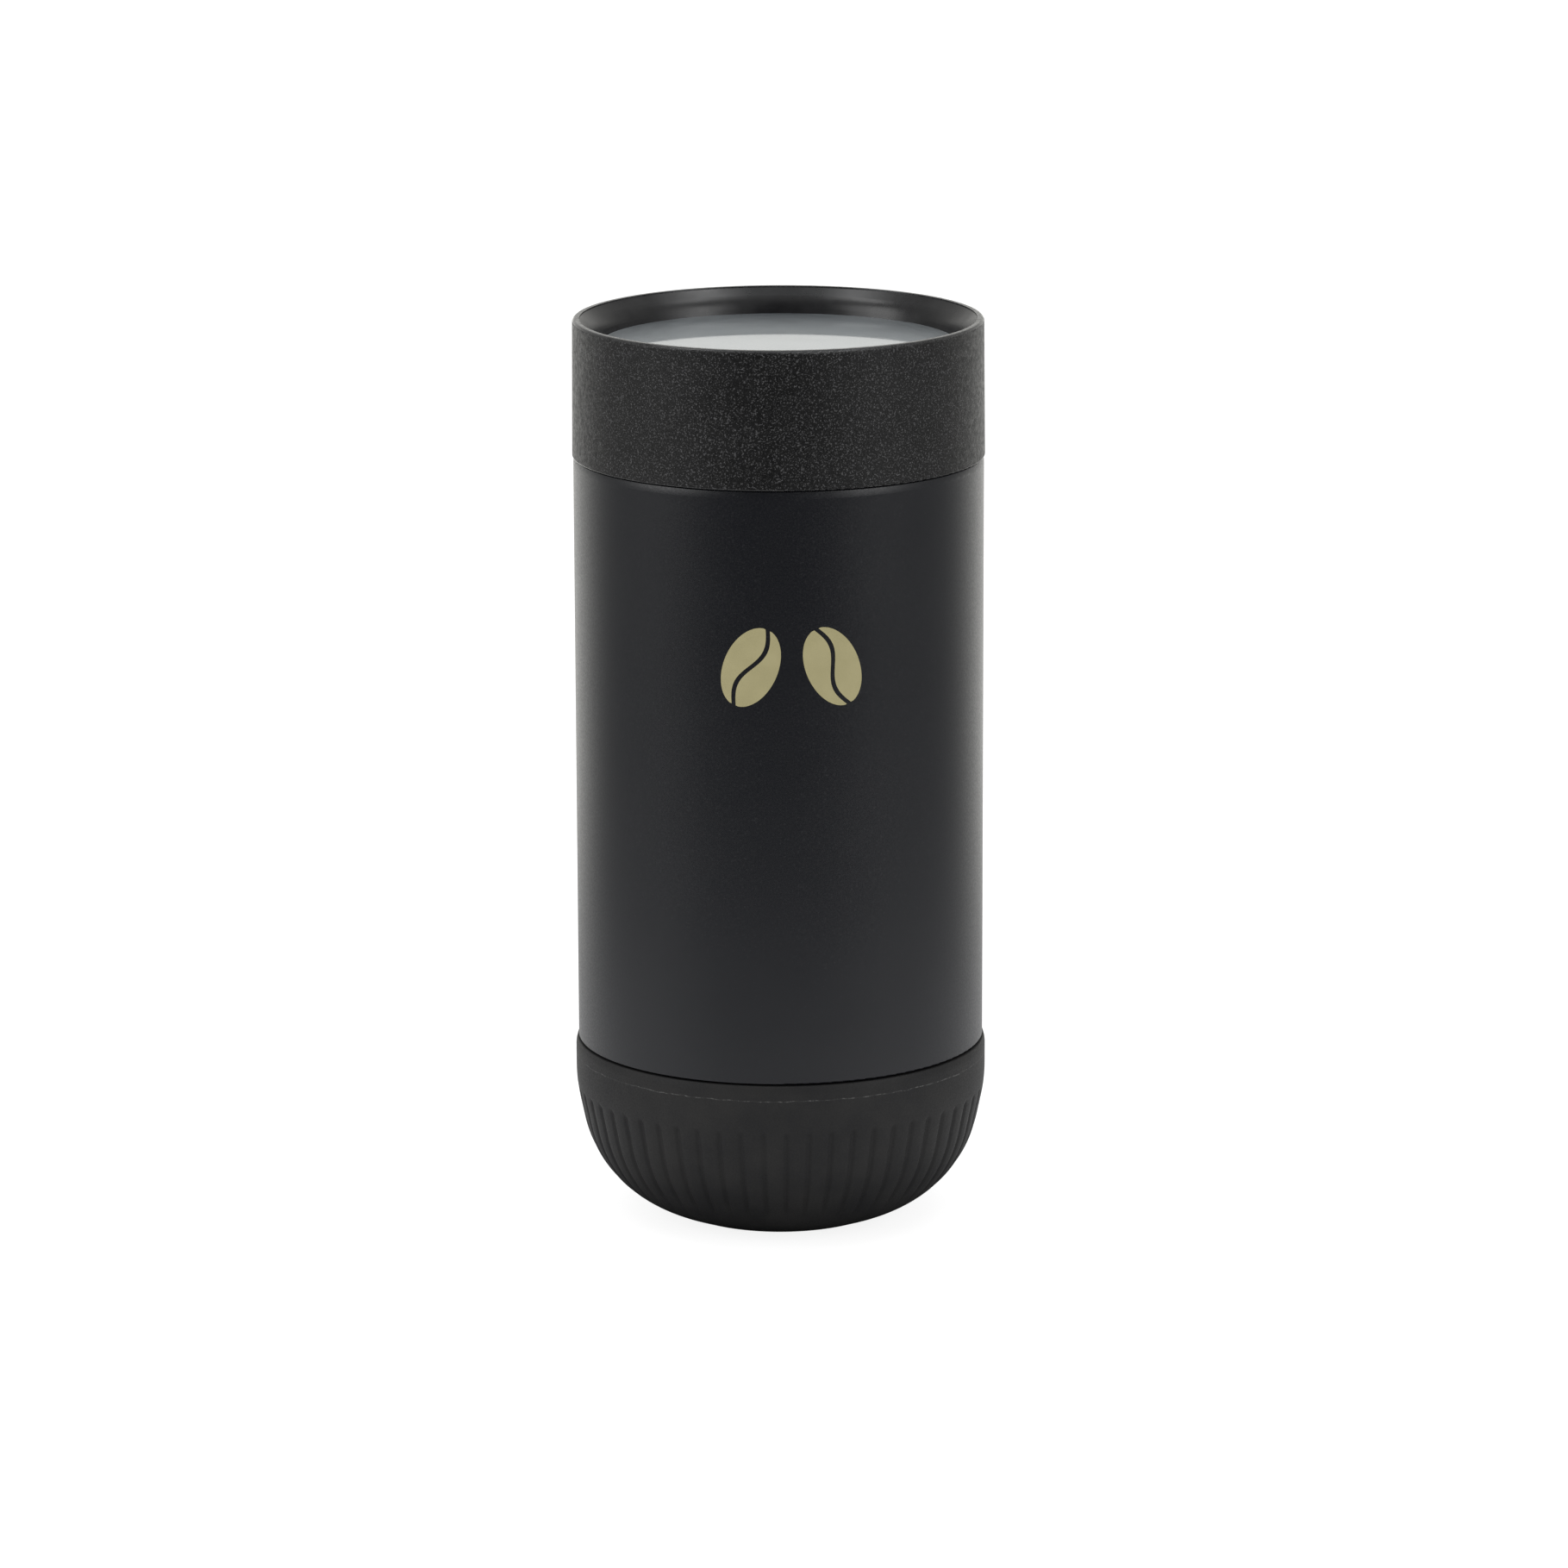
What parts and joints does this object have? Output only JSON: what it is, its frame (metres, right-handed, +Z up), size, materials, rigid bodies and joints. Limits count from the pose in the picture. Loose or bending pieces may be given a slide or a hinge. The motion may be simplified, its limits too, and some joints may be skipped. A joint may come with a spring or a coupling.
{
  "type": "insulated drinks tumbler",
  "caption": "Double-walled insulated drinks tumbler with a screw-in lid that opens all round its edge when its steel button is pressed, and a ribbed rubber base.",
  "frame": {"origin": "centre of the foot ring's flat face, where the tumbler stands", "axes": "+Z up along the tumbler's axis, out of the lid; -Y is the side with the printed mark"},
  "size_m": [0.076, 0.076, 0.1675],
  "materials": {
    "powder_coat": "satin black powder coat with a very fine grain",
    "bare_steel": "spun stainless steel",
    "solder": "dull solder bead",
    "getter": "dull sintered metal",
    "boot_rubber": "matt black silicone rubber",
    "seal_rubber": "soft dark grey silicone rubber",
    "grained_plastic": "black plastic with a fine spark-eroded grain",
    "smooth_plastic": "black plastic with a smooth satin surface",
    "inner_plastic": "plain dark moulded plastic",
    "cam_plastic": "off-white slippery plastic",
    "satin_steel": "satin stainless steel",
    "rod_steel": "turned stainless steel",
    "spring_steel": "bright spring wire and strip"
  },
  "bodies": {
    "vessel": {"outer_shell": "powder_coat", "inner_liner": "bare_steel", "shell_base": "bare_steel", "vacuum_plug": "solder", "getter_pill": "getter", "silicone_boot": "boot_rubber"},
    "gasket": {"lid_gasket": "seal_rubber"},
    "lid": {"lid_cover": "grained_plastic", "lid_core": "smooth_plastic", "mechanism_carrier": "inner_plastic", "cam_barrel": "cam_plastic", "barrel_cap": "inner_plastic", "stem_seal": "seal_rubber", "return_spring": "spring_steel"},
    "button": {"button_disc": "satin_steel", "button_body": "inner_plastic", "push_rod": "rod_steel", "rotor_clip": "spring_steel", "valve_plate": "inner_plastic", "valve_seal": "seal_rubber", "valve_screw": "rod_steel", "spring_washer": "rod_steel"},
    "rotor": {"cam_rotor": "cam_plastic"}
  },
  "joints": [
    {"name": "lid_lift", "type": "slide", "parent": "vessel", "child": "gasket", "axis": [0, 0, 1], "range_m": [0, 0.032]},
    {"name": "lid_turn", "type": "hinge", "parent": "gasket", "child": "lid", "pos_m": [0, 0, 0.1422], "axis": [0, 0, 1], "range_deg": [0, 1440]},
    {"name": "button_press", "type": "slide", "parent": "lid", "child": "button", "axis": [0, 0, -1], "range_m": [0, 0.004], "stiffness_N_per_m": 600, "springref_m": -0.005, "deforming": ["return_spring"]},
    {"name": "rotor_turn", "type": "hinge", "parent": "button", "child": "rotor", "pos_m": [0, 0, 0.1407], "axis": [0, 0, -1], "range_deg": [0, 45]}
  ],
  "couplings": [
    {"joint": "lid_lift", "follows": "lid_turn", "m_per_rad": 0.0012732},
    {"joint": "rotor_turn", "follows": "button_press", "rad_per_m": 196.35}
  ]
}
